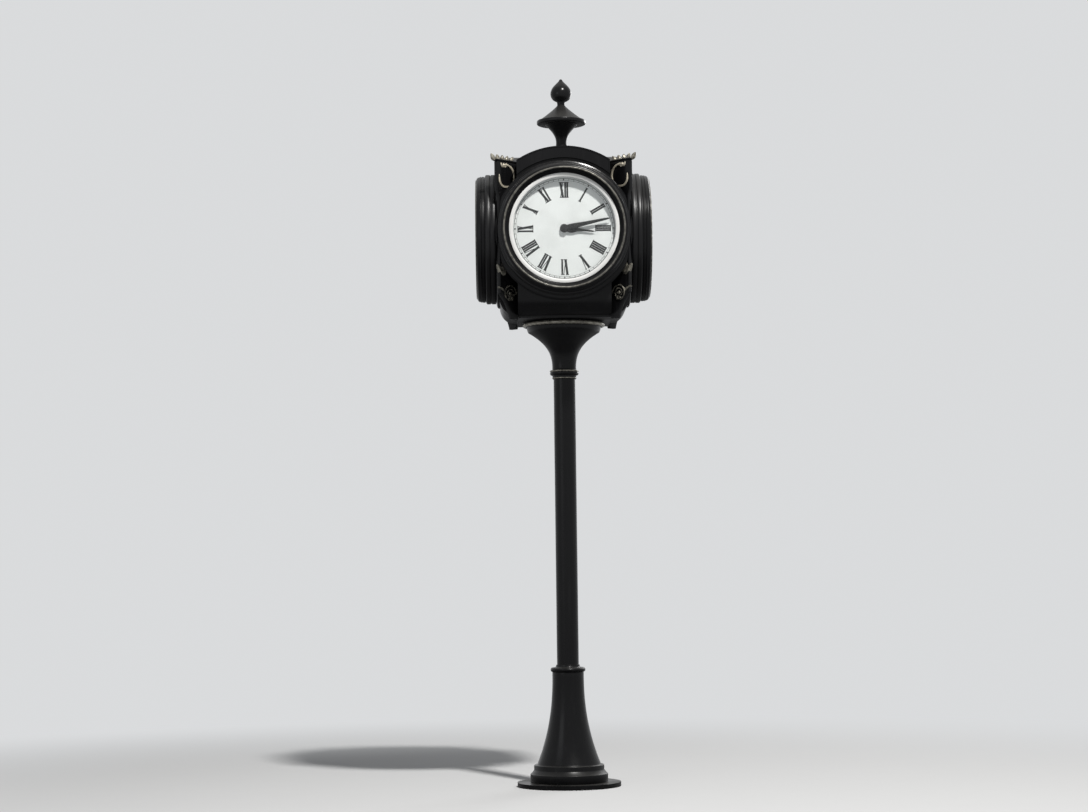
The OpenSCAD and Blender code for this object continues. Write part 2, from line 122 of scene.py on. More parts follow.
class Graph:
    """Node tree of one material or of the world."""

    def __init__(self, tree: bpy.types.NodeTree) -> None:
        """Empties the tree."""
        self.tree = tree
        tree.nodes.clear()

    def add(self, kind: str, settings: dict[str, Any] | None = None,
            inputs: dict[Any, Any] | None = None, output: int | str = 0) -> Value:
        """Adds a node.

        Args:
            kind: Type name of the node.
            settings: Its own settings, set first.
            inputs: Values or links, by the socket's name or number.
            output: The output that is returned.

        Returns:
            The chosen output.
        """
        node = self.tree.nodes.new(kind)
        for key, value in (settings or {}).items():
            setattr(node, key, value)
        for key, value in (inputs or {}).items():
            if isinstance(value, Value):
                self.tree.links.new(value.socket, node.inputs[key])
            else:
                node.inputs[key].default_value = value
        return Value(self, node.outputs[output] if len(node.outputs) else None)

    def place(self, stretch: Triple) -> Value:
        """Object coordinates, stretched along each axis."""
        spot = self.add("ShaderNodeTexCoord", output="Object")
        return self.add("ShaderNodeMapping", {}, {"Vector": spot, "Scale": stretch})

    def noise(self, scale: float, detail: float, stretch: Triple = (1, 1, 1)) -> Value:
        """Noise of a given scale, from 0 to 1."""
        inputs = {"Vector": self.place(stretch), "Scale": scale, "Detail": detail}
        return self.add("ShaderNodeTexNoise", {}, inputs)

    def fit(self, value: Value, low: float, high: float, to_low: float = 0, to_high: float = 1) -> Value:
        """Maps a range of a value smoothly to another range."""
        inputs = {"Value": value, 1: low, 2: high, 3: to_low, 4: to_high}
        return self.add("ShaderNodeMapRange", {"interpolation_type": "SMOOTHSTEP"}, inputs)

    def mix(self, share: Any, first: Any, second: Any) -> Value:
        """Mixes two colours."""
        return self.add("ShaderNodeMix", {"data_type": "RGBA"}, {0: share, 6: first, 7: second}, 2)

    def cover(self, share: Value, under: Value, over: Value) -> Value:
        """Covers a shader with a share of another one."""
        return self.add("ShaderNodeMixShader", {}, {0: share, 1: under, 2: over})

    def ray(self, kind: str) -> Value:
        """Mask of one kind of ray."""
        return self.add("ShaderNodeLightPath", output=f"Is {kind} Ray")

    def upward(self) -> Value:
        """How far a surface faces up, from -1 to 1."""
        normal = self.add("ShaderNodeNewGeometry", output="Normal")
        return self.add("ShaderNodeSeparateXYZ", {}, {0: normal}, 2)

    def bump(self, height: Value, strength: float, distance: float) -> Value:
        """Normal of a height pattern."""
        inputs = {"Height": height, "Strength": strength, "Distance": distance}
        return self.add("ShaderNodeBump", {}, inputs)

    def surface(self, inputs: dict[Any, Any]) -> None:
        """Ends the graph in a Principled shader with these inputs."""
        self.output(self.add("ShaderNodeBsdfPrincipled", {}, inputs))

    def output(self, shader: Value, kind: str = "ShaderNodeOutputMaterial") -> None:
        """Ends the graph in its output."""
        self.add(kind, {}, {"Surface": shader})


# Finishes


@dataclass(frozen=True)
class Finish:
    """One finish of the clock. Each kind draws its own shader graph."""

    name: str

    def make(self) -> Material:
        """Builds the material.

        Returns:
            The material, with its graph.
        """
        material = bpy.data.materials.new(self.name)
        material.use_nodes = True
        self.draw(Graph(material.node_tree))
        return material

    def draw(self, graph: Graph) -> None:
        """Draws the shader graph."""
        raise NotImplementedError(self.name)


@dataclass(frozen=True)
class BlackPaint(Finish):
    """Gloss black paint on cast iron, with faint streaks, dust on what faces up and dull undersides."""

    colour: Colour = (0.0045, 0.0045, 0.005, 1)
    worn: Colour = (0.012, 0.012, 0.0125, 1)
    dust: Colour = (0.1, 0.097, 0.09, 1)
    dust_share: float = 0.26
    gloss: float = 0.18
    dull: float = 0.38
    ripple: float = 0.12
    shine: float = 0.17

    def draw(self, graph: Graph) -> None:
        """Draws clean paint, then the streaks down it and the dust that settles on it.

        Args:
            graph: The material's empty graph.
        """
        up = graph.upward()
        cloudy = graph.noise(scale=3.5, detail=5)
        streaks = graph.fit(graph.noise(scale=48, detail=5, stretch=(1, 1, 0.05)), 0.5, 0.8)
        specks = graph.fit(graph.noise(scale=140, detail=4), 0.35, 0.75)
        under = graph.fit(up * -1, 0.4, 0.95)
        settled = graph.fit(up, 0.35, 0.98)
        dusty = settled * graph.fit(cloudy, 0.3, 0.7, 0.4, 1) * self.dust_share + specks * settled * 0.08
        rough = graph.fit(cloudy, 0.3, 0.72, self.gloss, self.dull)
        peel = graph.noise(scale=260, detail=2) * 0.35 + graph.noise(scale=45, detail=3) * 0.65
        streaked = graph.mix(streaks * 0.45, self.colour, self.worn)
        graph.surface({
            "Base Color": graph.mix(dusty, streaked, self.dust),
            "Roughness": rough + streaks * 0.05 + dusty * 0.4 + under * 0.4,
            "Normal": graph.bump(peel, self.ripple, distance=0.002),
            "Specular IOR Level": self.shine,
        })


@dataclass(frozen=True)
class Gilding(Finish):
    """Pale gilding, dulled by weather."""

    bright: Colour = (0.66, 0.60, 0.47, 1)
    dull: Colour = (0.36, 0.33, 0.27, 1)

    def draw(self, graph: Graph) -> None:
        """Draws the clouded metal and its fine grain.

        Args:
            graph: The material's empty graph.
        """
        cloudy = graph.fit(graph.noise(scale=40, detail=5), 0.35, 0.68)
        grain = graph.noise(scale=420, detail=3)
        graph.surface({
            "Base Color": graph.mix(cloudy, self.bright, self.dull),
            "Metallic": 0.45 + cloudy * 0.15,
            "Roughness": 0.32 + cloudy * 0.2 + grain * 0.06,
            "Normal": graph.bump(grain, 0.15, distance=0.0008),
        })


@dataclass(frozen=True)
class WhiteEnamel(Finish):
    """White enamel of the dials, slightly clouded."""

    clean: Colour = (0.86, 0.86, 0.845, 1)
    clouded: Colour = (0.79, 0.79, 0.775, 1)

    def draw(self, graph: Graph) -> None:
        """Draws the clouds and the fine unevenness of fired enamel.

        Args:
            graph: The material's empty graph.
        """
        cloudy = graph.fit(graph.noise(scale=7, detail=6), 0.38, 0.75)
        fine = graph.noise(scale=220, detail=3)
        graph.surface({
            "Base Color": graph.mix(cloudy, self.clean, self.clouded),
            "Roughness": 0.4 + fine * 0.12,
            "Normal": graph.bump(fine, 0.04, distance=0.0006),
        })


@dataclass(frozen=True)
class SatinBlack(Finish):
    """Satin black of the hands and the numerals."""

    colour: Colour = (0.012, 0.012, 0.012, 1)
    faded: Colour = (0.03, 0.03, 0.031, 1)
    shine: float = 0.3

    def draw(self, graph: Graph) -> None:
        """Draws the faded patches and the fine grain.

        Args:
            graph: The material's empty graph.
        """
        cloudy = graph.fit(graph.noise(scale=25, detail=4), 0.35, 0.7)
        fine = graph.noise(scale=300, detail=3)
        graph.surface({
            "Base Color": graph.mix(cloudy, self.colour, self.faded),
            "Roughness": 0.42 + fine * 0.14,
            "Normal": graph.bump(fine, 0.08, distance=0.0005),
            "Specular IOR Level": self.shine,
        })


@dataclass(frozen=True)
class ClearGlass(Finish):
    """Thin clear glass with a faint film of dust."""

    tint: Colour = (0.975, 0.985, 0.985, 1)
    gloss: Colour = (1, 1, 1, 1)
    film: Colour = (0.6, 0.6, 0.58, 1)
    edge_shine: float = 0.55
    face_shine: float = 0.022
    film_share: float = 0.02

    def draw(self, graph: Graph) -> None:
        """Draws the pane, glossier where it is seen edge on, and the film over it.

        Args:
            graph: The material's empty graph.
        """
        clear = graph.add("ShaderNodeBsdfTransparent", {}, {"Color": self.tint})
        shine = graph.add("ShaderNodeBsdfGlossy", {}, {"Color": self.gloss, "Roughness": 0.03})
        film = graph.add("ShaderNodeBsdfDiffuse", {}, {"Color": self.film})
        edge_on = graph.add("ShaderNodeLayerWeight", {}, {"Blend": 0.5}, "Facing")
        pane = graph.cover(edge_on * edge_on * edge_on * self.edge_shine + self.face_shine, clear, shine)
        dust = graph.fit(graph.noise(scale=9, detail=6), 0.5, 0.8, 0, self.film_share)
        graph.output(graph.cover(dust, pane, film))


@dataclass(frozen=True)
class PaleFloor(Finish):
    """Pale studio floor that fades into the background."""

    colour: Colour = (0.68, 0.685, 0.69, 1)
    cloud: Colour = (0.64, 0.64, 0.645, 1)
    bounced: Colour = (0.2, 0.2, 0.205, 1)
    near: float = 2.8
    far: float = 8.0

    def draw(self, graph: Graph) -> None:
        """Draws the floor, paler to the camera than to the clock, and the plain backdrop beyond it.

        Args:
            graph: The material's empty graph.
        """
        spot = graph.add("ShaderNodeTexCoord", output="Object")
        away = graph.add("ShaderNodeVectorMath", {"operation": "LENGTH"}, {0: spot}, "Value")
        cloudy = graph.fit(graph.noise(scale=5, detail=5), 0.3, 0.7, 0, 0.1)
        colour = graph.mix(graph.ray("Camera"), self.bounced, graph.mix(cloudy, self.colour, self.cloud))
        lit = graph.add("ShaderNodeBsdfDiffuse", {}, {"Color": colour})
        plain = graph.add("ShaderNodeEmission", {}, {"Color": BACKDROP, "Strength": 1.0})
        graph.output(graph.cover(graph.fit(away, self.near, self.far), lit, plain))


def built(finish: Finish) -> Any:
    """Field of a material that is built with the other ones."""
    return field(default_factory=finish.make)


@dataclass
class Finishes:
    """All finishes of the clock, each built once."""

    iron: Material = built(BlackPaint("black_paint"))
    bezel: Material = built(BlackPaint(
        "bezel_paint", gloss=0.22, dull=0.34, dust_share=0.12, ripple=0.06, shine=0.15))
    cove: Material = built(BlackPaint(
        "cove_paint", gloss=0.3, dull=0.45, dust_share=0.04, shine=0.08))
    rim: Material = built(Gilding(
        "rim_gilding", bright=(0.3, 0.285, 0.24, 1), dull=(0.13, 0.122, 0.103, 1)))
    bands: Material = built(BlackPaint(
        "band_paint", gloss=0.28, dull=0.4, dust_share=0.2, ripple=0.06, shine=0.24))
    carving: Material = built(Gilding(
        "carving_gilding", bright=(0.26, 0.244, 0.2, 1), dull=(0.022, 0.021, 0.018, 1)))
    gilt: Material = built(Gilding("pale_gilding"))
    crest: Material = built(Gilding(
        "crest_gilding", bright=(0.4, 0.375, 0.31, 1), dull=(0.12, 0.112, 0.094, 1)))
    bead: Material = built(Gilding(
        "bead_gilding", bright=(0.15, 0.143, 0.124, 1), dull=(0.06, 0.057, 0.05, 1)))
    lip: Material = built(WhiteEnamel(
        "lip_enamel", clean=(0.7, 0.7, 0.685, 1), clouded=(0.62, 0.62, 0.607, 1)))
    dial: Material = built(WhiteEnamel("dial_enamel"))
    ink: Material = built(SatinBlack("numeral_black"))
    hand: Material = built(SatinBlack(
        "hand_black", colour=(0.01, 0.01, 0.01, 1), faded=(0.02, 0.02, 0.02, 1)))
    glass: Material = built(ClearGlass("clear_glass"))


# Profiles and outlines, in millimetres


def polar(centre: Point, r: float, degrees: float) -> Point:
    """Point at a distance and a direction from a centre."""
    angle = math.radians(degrees)
    return centre[0] + r * math.cos(angle), centre[1] + r * math.sin(angle)


def arc(cx: float, cy: float, r: float, start: float, end: float, steps: int) -> list[Point]:
    """Points along an arc, with its angles in degrees."""
    return [polar((cx, cy), r, start + (end - start) * i / steps) for i in range(steps + 1)]


def flare(start: Point, end: Point, power: float, steps: int) -> list[Point]:
    """Points from start to end, whose first value grows with a power of the second."""
    (r0, z0), (r1, z1) = start, end
    return [(r0 + (r1 - r0) * (i / steps) ** power, z0 + (z1 - z0) * i / steps) for i in range(steps + 1)]


def curve(points: list[Point], steps: int) -> list[Point]:
    """Draws a smooth curve through points.

    Args:
        points: The points that it passes through.
        steps: Number of steps between each two of them.

    Returns:
        Points along the curve.
    """
    ends = [points[0]] + points + [points[-1]]
    line: list[Point] = []
    for a, b, c, d in zip(ends, ends[1:], ends[2:], ends[3:]):
        for i in range(steps):
            t = i / steps
            line.append(tuple(
                0.5 * (2 * q + (r - p) * t + (2 * p - 5 * q + 4 * r - s) * t * t
                       + (3 * q - p - 3 * r + s) * t ** 3)
                for p, q, r, s in zip(a, b, c, d)
            ))
    return line + [points[-1]]


def box(x0: float, y0: float, x1: float, y1: float) -> list[Point]:
    """Corners of a rectangle."""
    return [(x0, y0), (x1, y0), (x1, y1), (x0, y1)]


def with_width(spots: list[Point], width: float) -> list[Triple]:
    """Gives each point of a path the same width."""
    return [(*spot, width) for spot in spots]


def on_dial(x: float, y: float, out: float, turned: float = 0) -> Vector:
    """Places a point in front of the front dial.

    Args:
        x: Millimetres to the right of the dial's centre.
        y: Millimetres above it.
        out: Millimetres from the middle of the post.
        turned: Turn about the dial's centre, in degrees.

    Returns:
        The point, in metres.
    """
    angle = math.radians(turned)
    across = x * math.cos(angle) - y * math.sin(angle)
    up = x * math.sin(angle) + y * math.cos(angle)
    return Vector((across * MM, -out * MM, LEVEL + up * MM))


# Modelling


def deselect() -> None:
    """Leaves no object selected."""
    bpy.ops.object.select_all(action="DESELECT")


def select(*pieces: Piece) -> None:
    """Selects these pieces alone and makes the first one active.

    Args:
        pieces: One piece or more.
    """
    deselect()
    for piece in pieces:
        piece.select_set(True)
    bpy.context.view_layer.objects.active = pieces[0]


def pull(step: Vector) -> None:
    """Extrudes what is selected by a step."""
    bpy.ops.mesh.extrude_region_move(TRANSFORM_OT_translate={"value": step})


def trace(points: list[Vector]) -> None:
    """Starts a mesh as a closed chain of edges, and leaves it selected in edit mode.

    Args:
        points: Corners of the chain, in metres.
    """
    deselect()
    bpy.ops.mesh.primitive_plane_add(size=0.01, location=points[0])
    bpy.ops.object.mode_set(mode="EDIT")
    bpy.ops.mesh.select_mode(type="VERT")
    bpy.ops.mesh.select_all(action="SELECT")
    bpy.ops.mesh.merge(type="CENTER")
    for before, after in zip(points, points[1:] + points[:1]):
        pull(after - before)
    bpy.ops.mesh.select_all(action="SELECT")
    bpy.ops.mesh.remove_doubles(threshold=MERGE)


def close_mesh() -> Piece:
    """Merges doubles, turns all faces outwards and leaves edit mode.

    Returns:
        The modelled piece.
    """
    bpy.ops.mesh.select_all(action="SELECT")
    bpy.ops.mesh.remove_doubles(threshold=MERGE)
    bpy.ops.mesh.normals_make_consistent(inside=False)
    bpy.ops.object.mode_set(mode="OBJECT")
    bpy.ops.object.transform_apply(location=True)
    return bpy.context.object


def slab(points: list[Vector], depth: Vector) -> Piece:
    """Fills a flat outline and extrudes it.

    Args:
        points: Corners of the outline.
        depth: How far and which way it is extruded.

    Returns:
        The slab.
    """
    trace(points)
    bpy.ops.mesh.edge_face_add()
    pull(depth)
    return close_mesh()


def slab_on_dial(outline: list[Point], out: float, relief: float, turned: float = 0) -> Piece:
    """Models a flat form that stands forward from a reach, turned about the front dial's centre."""
    points = [on_dial(x, y, out, turned) for x, y in outline]
    return slab(points, Vector((0, -relief * MM, 0)))


def spin(points: list[Vector], centre: Vector, axis: Vector, steps: int) -> Piece:
    """Spins a closed profile once round an axis into a ring or a solid.

    Args:
        points: Corners of the profile, in a plane that holds the axis.
        centre: A point on the axis.
        axis: Direction of the axis.
        steps: Number of segments.

    Returns:
        The turned piece.
    """
    trace(points)
    bpy.ops.mesh.spin(steps=steps, angle=math.tau, center=centre, axis=axis)
    return close_mesh()


def spin_on_post(profile: list[Point], steps: int) -> Piece:
    """Turns a profile of radii and heights about the post."""
    return spin([Vector((r * MM, 0, z * MM)) for r, z in profile], Vector(), POST_AXIS, steps)


def spin_on_dial(profile: list[Point], steps: int) -> Piece:
    """Turns a profile of radii and reaches about the front dial's axis."""
    return spin([on_dial(r, 0, out) for r, out in profile], DIAL_CENTRE, DIAL_AXIS, steps)


def modify(piece: Piece, kind: str, **settings: Any) -> None:
    """Adds a modifier to a piece and applies it.

    Args:
        piece: The piece.
        kind: Type name of the modifier.
        settings: The modifier's own settings.
    """
    select(piece)
    modifier = piece.modifiers.new(kind.title(), kind)
    for key, value in settings.items():
        setattr(modifier, key, value)
    bpy.ops.object.modifier_apply(modifier=modifier.name)


def soften(piece: Piece, width: float, segments: int = 2, angle: float = 32) -> None:
    """Rounds the edges of a piece that are sharper than an angle."""
    modify(piece, "BEVEL", width=width, segments=segments, limit_method="ANGLE",
           angle_limit=math.radians(angle), harden_normals=False)


def join(pieces: list[Piece]) -> Piece:
    """Joins pieces.

    Args:
        pieces: Two pieces or more.

    Returns:
        The first one, which now holds them all.
    """
    select(*pieces)
    bpy.ops.object.join()
    return pieces[0]


def turned_copy(piece: Piece, degrees: float) -> Piece:
    """Copies a piece with its own mesh and turns the copy about the post.

    Args:
        piece: The piece that is copied.
        degrees: Turn of the copy.

    Returns:
        The copy.
    """
    copy = piece.copy()
    copy.data = piece.data.copy()
    bpy.context.collection.objects.link(copy)
    copy.data.transform(Matrix.Rotation(math.radians(degrees), 4, "Z"))
    return copy


def settle(piece: Piece, name: str, material: Material,
           body: str = CLOCK, node: str = "") -> None:
    """Names a piece, gives it its finish and puts it on its body.

    Args:
        piece: The modelled piece.
        name: Its name.
        material: Its material.
        body: The body that it moves with.
        node: CAD node that it replaces, if any.
    """
    select(piece)
    bpy.ops.object.transform_apply(location=True, rotation=True, scale=True)
    bpy.ops.object.shade_smooth_by_angle(angle=math.radians(CREASE))
    piece.name = name
    piece.data.name = name
    piece.data.materials.clear()
    piece.data.materials.append(material)
    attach(piece, body)
    if node:
        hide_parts(node)
    log.info("%s: %d faces", name, len(piece.data.polygons))


@dataclass(frozen=True)
class Master:
    """A piece modelled once, at the front or on the right, for copies all round the head."""

    piece: Piece
    name: str
    slot: Slot
    material: Material
    node: str = ""
    rides: bool = False

    def put(self, place: Wall | Corner) -> None:
        """Settles a turned copy at a wall or a corner.

        Args:
            place: The wall or the corner, whose name comes before the copy's own.
        """
        side = place.name.lower()
        node = f"{side}_{self.node}" if self.node else ""
        settle(turned_copy(self.piece, place.value), f"{side}_{self.name}", self.material,
               body=node if self.rides else CLOCK, node=node)


def put_round(places: type[Enum], *masters: Master) -> None:
    """Settles copies of the masters at each wall or corner, and removes the masters.

    Args:
        places: Wall or Corner.
        masters: The masters, which are copied in this order at each place.
    """
    for place in places:
        for master in masters:
            master.put(place)
    for master in masters:
        bpy.data.objects.remove(master.piece)


# Sub-assemblies


@dataclass
class TurnedCastings:
    """Castings turned about the post: the foot, the rings, the capital and the finial, in millimetres."""

    finishes: Finishes
    steps: int = 128
    edge_round: float = 0.0015
    post_r: float = 76.3
    flange_t: float = 30
    plinth_r: float = 270
    waist_r: float = 110
    pedestal_top: float = 790
    neck_z: float = 2836
    capital_z: float = 2904
    rim_r: float = 270
    floor_z: float = 3240
    foot_z: float = 4412
    hat_r: float = 164
    hat_z: float = 4646
    ball_z: float = 4783
    tip_z: float = 4972

    def build(self) -> None:
        """Builds every turned casting."""
        for name, profile in (
            ("pedestal", self.pedestal()),
            ("pedestal_collar", self.collar()),
            ("neck_ring", self.neck_ring()),
            ("capital", self.capital()),
            ("finial_stem", self.stem()),
            ("finial_hat", self.hat()),
            ("finial_ball", self.ball()),
        ):
            piece = spin_on_post(profile, self.steps)
            soften(piece, self.edge_round)
            settle(piece, f"{name}_casting", self.finishes.iron, node=name)
        for name, profile in (
            ("capital_bead", self.rim_bead()),
            ("neck_bead", self.neck_bead()),
            ("neck_line", self.neck_line()),
        ):
            settle(spin_on_post(profile, self.steps), name, self.finishes.rim)

    def pedestal(self) -> list[Point]:
        """Profile of the flared pedestal with its two plinth bands."""
        low, top, wide, waist = self.flange_t, self.pedestal_top, self.plinth_r, self.waist_r
        return [
            (self.post_r, low), (wide, low), (wide, low + 54), *arc(wide - 6, low + 54, 6, 0, 90, 4),
            (wide - 20, 108), (wide - 26, 116), (wide - 26, 144), *arc(wide - 32, 144, 6, 0, 90, 4),
            (wide - 48, 151), *flare((waist, top - 30), (waist + 108, 162), 2.2, 20)[::-1],
            (waist, top - 2), (waist - 2, top), (self.post_r, top),
        ]

    def collar(self) -> list[Point]:
        """Profile of the beaded collar on the pedestal."""
        low, bead_r = self.pedestal_top, 16
        return [
            (self.post_r, low), *arc(106, low + bead_r, bead_r, -90, 90, 12), (92, low + 2 * bead_r),
            *curve([(88, low + 34), (84, low + 40), (82, low + 50)], 4), (self.post_r, low + 50),
        ]

    def neck_ring(self) -> list[Point]:
        """Profile of the plain band and the bead under the capital."""
        low, high = self.neck_z, self.capital_z
        return [
            (self.post_r, low), (79, low), *curve([(80, low + 1), (82.5, low + 3), (83.4, low + 7)], 3),
            (84, high - 43), (90, high - 40), *arc(88, high - 27, 13, -80, 0, 8), (99, high - 19),
            (97, high - 15), (97, high - 5), (84, high - 2), (84, high), (self.post_r, high),
        ]

    def neck_bead(self) -> list[Point]:
        """Profile of the small bead on top of the neck ring."""
        return arc(95.6, self.capital_z - 11, 6.2, -100, 100, 12)

    def neck_line(self) -> list[Point]:
        """Profile of the fine bead at the foot of the neck ring."""
        low = self.neck_z
        return [(77, low + 2), *arc(80.5, low + 8, 5, -100, 100, 10), (77, low + 14)]

    def capital(self) -> list[Point]:
        """Profile of the trumpet capital: the flare, a rounded rim and a fillet above it."""
        base, top, wide, rim = self.capital_z, self.floor_z, self.rim_r, self.floor_z - 74
        return [
            (0, base), *flare((84, base), (250, rim), 2.7, 24),
            *curve([(252, rim + 4), (256, rim + 12), (259, rim + 22), (261, rim + 32)], 4)[1:],
            (262, top - 38), (wide - 2, top - 37), (wide + 2, top - 34), (wide + 2, top - 14),
            (wide, top - 11), (wide, top - 2), (wide - 2, top), (0, top),
        ]

    def rim_bead(self) -> list[Point]:
        """Profile of the bead about the capital's rim."""
        middle = self.floor_z - 24
        return [
            (self.rim_r, middle - 12), *arc(self.rim_r + 6, middle, 12.8, -80, 80, 14),
            (self.rim_r, middle + 12),
        ]

    def stem(self) -> list[Point]:
        """Profile of the finial's stem, waisted between its foot and the hat."""
        low, high, waist = self.foot_z, self.hat_z, 38
        return [
            (0, low), (73, low), *arc(69, low + 6, 6, -60, 90, 6), (64, low + 12),
            *flare((waist, low + 104), (63, low + 16), 2, 12)[::-1],
            *flare((waist, high - 126), (112, high - 4), 1.9, 18), (112, high), (0, high),
        ]

    def hat(self) -> list[Point]:
        """Profile of the finial's hat, with two beads about its brim."""
        low, high, wide = self.hat_z, self.ball_z, self.hat_r
        return [
            (0, low), (wide, low), *arc(wide, low + 9, 9, -90, 0, 5), *arc(wide, low + 20, 9, 0, 90, 5),
            (wide - 8, low + 29), *flare((27, high), (151, low + 32), 1.15, 16)[::-1], (0, high),
        ]

    def ball(self) -> list[Point]:
        """Draws the profile of the finial's pointed ball.

        Returns:
            The profile.
        """
        low, rises = self.ball_z, (0, 12, 26, 31, 43, 63, 85, 106, 126, 144, 160, 171)
        radii = (27, 27, 31, 42, 59, 71, 74, 70, 60, 45, 29, 18)
        body = curve([(r, low + rise) for r, rise in zip(radii, rises)], 4)
        return [(0, low), *body, *arc(0, self.tip_z - 12, 12, 10, 90, 6)]


@dataclass
class Bezels:
    """Rounded bezels and the bands of the drums behind them, in millimetres from the dial's centre."""

    finishes: Finishes
    steps: int = 192
    opening_r: float = 381
    glass_r: float = 400.3
    drum_r: float = 443.5
    drum_reach: float = 545
    lip: float = 570
    face: float = 606

    def build(self) -> None:
        """Builds the front ones and puts copies of them on every wall."""
        iron, bezel, finishes = Slot.IRON, Slot.BEZEL, self.finishes
        for name, profile, slot, material, node in (
            ("bezel_ring", self.bezel(), bezel, finishes.bezel, "bezel"),
            ("bezel_cove", self.cove(), bezel, finishes.cove, ""),
            ("bezel_bead", self.bead(), bezel, finishes.bead, ""),
            ("bezel_lip", self.lip_ring(), bezel, finishes.lip, ""),
            ("drum_bands", self.bands(), iron, finishes.bands, ""),
        ):
            put_round(Wall, Master(spin_on_dial(profile, self.steps), name, slot, material, node))

    def bezel(self) -> list[Point]:
        """Profile of the bezel: a stepped rim, a rounded shoulder and a hollow seat for the cove."""
        inner, outer, back, face = self.opening_r, self.drum_r, self.drum_reach, self.face
        return [
            (self.glass_r, back), (outer - 6, back), (outer - 6, back + 4),
            *arc(outer - 3, back + 7, 3, -90, 0, 4), (outer, back + 21), (outer - 3, back + 23),
            (outer - 3, back + 25), *arc(outer - 3, back + 29, 3, -60, 60, 4), (outer - 2.5, back + 34),
            *arc(outer - 26, face - 24, 22, 0, 90, 12), (inner + 30, face - 3),
            *((r, out - 1.2) for r, out in self.hollow()[::-1] if r > inner + 2),
            (inner + 2, self.lip + 3), (inner + 2, self.lip), (self.glass_r, self.lip),
        ]

    def hollow(self) -> list[Point]:
        """Curve of the cove, from the lip to the bead."""
        low, high = (self.lip + 5, self.opening_r - 4), (self.face - 4.5, self.opening_r + 25)
        return [(r, out) for out, r in flare(low, high, 2, 12)]

    def cove(self) -> list[Point]:
        """Profile of the dull black cove between the lip and the bead."""
        front = self.hollow()
        return [*front, *((r, out - 1.4) for r, out in front[::-1])]

    def bead(self) -> list[Point]:
        """Profile of the light bead on the bezel's face."""
        return arc(self.opening_r + 32, self.face - 2.5, 7, -150, 150, 16)

    def lip_ring(self) -> list[Point]:
        """Profile of the white ring that holds the glass."""
        inner, low = self.opening_r, self.lip
        return [
            (inner + 1, low), (inner - 29, low), (inner - 29, low + 3), (inner - 26, low + 5),
            (inner - 16, low + 6.5), (inner - 6, low + 6), (inner - 3, low + 5), (inner + 1, low + 4),
        ]

    def bands(self) -> list[Point]:
        """Profile of the two flat bands on the drum, with a groove between them."""
        base, high = self.drum_r - 1, self.drum_r + 12
        return [
            (base, 474), (high - 4, 474), (high - 1, 475.5), (high, 478), (high, 500), (high - 1.5, 502.5),
            (high - 4.6, 504), (high - 5, 506.5), (high - 4.6, 509), (high - 1.2, 511), (high, 513.5),
            (high, 534), (high - 1.5, 537.5), (high - 4, 540), (high - 6, 541.5), (base, 542.5),
        ]


